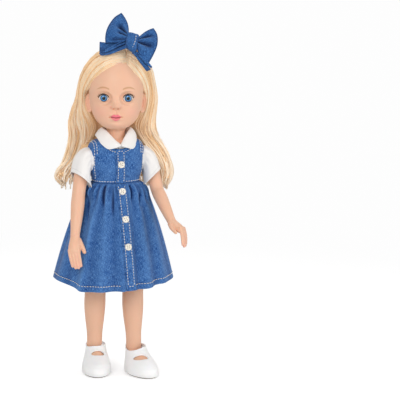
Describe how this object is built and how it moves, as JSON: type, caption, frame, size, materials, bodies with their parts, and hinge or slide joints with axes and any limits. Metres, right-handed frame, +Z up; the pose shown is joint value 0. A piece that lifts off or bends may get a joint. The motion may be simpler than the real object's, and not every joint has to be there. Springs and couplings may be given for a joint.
{
  "type": "doll",
  "caption": "Standing vinyl play doll with jointed neck, arms and legs, long blond curled hair, denim pinafore with buttons, white blouse, bar shoes and a hair bow.",
  "frame": {"origin": "on the floor under the middle of the doll's overall box", "axes": "+Z up through the head, the chest faces -Y, the doll's left side is +X"},
  "size_m": [0.1274, 0.125, 0.3893],
  "materials": {
    "skin_vinyl": "soft moulded vinyl, satin, with sprayed blush on the cheeks and knees",
    "joint_plastic": "plain moulded polypropylene",
    "eye_white": "polished acrylic",
    "eye_blue": "printed radial pattern, dark rim and pupil",
    "eye_clear": "clear polished acrylic dome",
    "lash_fibre": "dark brown bristle strip",
    "hair_fibre": "fine rooted strands, combed, curled at the ends, silky sheen",
    "denim": "fine twill, washed blue, same-colour top stitching",
    "white_cotton": "plain fine cotton",
    "button_ivory": "smooth, slightly glossy",
    "clip_steel": "plain pressed spring steel",
    "shoe_vinyl": "soft white vinyl, satin",
    "sole_rubber": "plain off-white"
  },
  "bodies": {
    "torso": {"torso": "skin_vinyl", "neck_plug": "joint_plastic", "briefs": "white_cotton", "blouse_body": "white_cotton", "bodice": "denim", "bodice_placket": "denim", "skirt": "denim", "skirt_placket": "denim", "button_1": "button_ivory", "button_2": "button_ivory", "button_3": "button_ivory", "button_4": "button_ivory", "collar_right": "white_cotton", "collar_left": "white_cotton"},
    "head": {"head": "skin_vinyl", "right_eyeball": "eye_white", "right_iris": "eye_blue", "right_cornea": "eye_clear", "right_lashes": "lash_fibre", "left_eyeball": "eye_white", "left_iris": "eye_blue", "left_cornea": "eye_clear", "left_lashes": "lash_fibre", "hair_crown_right": "hair_fibre", "hair_crown_left": "hair_fibre", "hair_back": "hair_fibre", "hair_length_back": "hair_fibre", "hair_curls_right": "hair_fibre", "hair_curls_left": "hair_fibre", "bow_knot": "denim", "bow_loop_right": "denim", "bow_loop_left": "denim", "bow_tail_right": "denim", "bow_tail_left": "denim", "bow_clip": "clip_steel"},
    "right_arm": {"right_arm": "skin_vinyl", "right_shoulder_plug": "joint_plastic", "right_sleeve": "white_cotton"},
    "left_arm": {"left_arm": "skin_vinyl", "left_shoulder_plug": "joint_plastic", "left_sleeve": "white_cotton"},
    "right_leg": {"right_leg": "skin_vinyl", "right_hip_plug": "joint_plastic", "right_shoe_upper": "shoe_vinyl", "right_shoe_sole": "sole_rubber"},
    "left_leg": {"left_leg": "skin_vinyl", "left_hip_plug": "joint_plastic", "left_shoe_upper": "shoe_vinyl", "left_shoe_sole": "sole_rubber"}
  },
  "joints": [
    {"name": "neck_turn", "type": "hinge", "parent": "torso", "child": "head", "pos_m": [0.00014, 0.01126, 0.252], "axis": [0, 0, 1], "range_deg": [-63, 97], "deforming": ["hair_length_back", "hair_curls_right", "hair_curls_left"]},
    {"name": "right_shoulder", "type": "hinge", "parent": "torso", "child": "right_arm", "pos_m": [-0.02686, 0.01126, 0.232], "axis": [-1, 0, 0], "range_deg": [-36, 126]},
    {"name": "left_shoulder", "type": "hinge", "parent": "torso", "child": "left_arm", "pos_m": [0.02714, 0.01126, 0.232], "axis": [-1, 0, 0], "range_deg": [-44, 118]},
    {"name": "right_hip", "type": "hinge", "parent": "torso", "child": "right_leg", "pos_m": [-0.00586, 0.01126, 0.165], "axis": [-1, 0, 0], "range_deg": [-30, 90], "deforming": ["skirt", "skirt_placket"]},
    {"name": "left_hip", "type": "hinge", "parent": "torso", "child": "left_leg", "pos_m": [0.00614, 0.01126, 0.165], "axis": [-1, 0, 0], "range_deg": [-35, 85], "deforming": ["skirt", "skirt_placket"]}
  ]
}
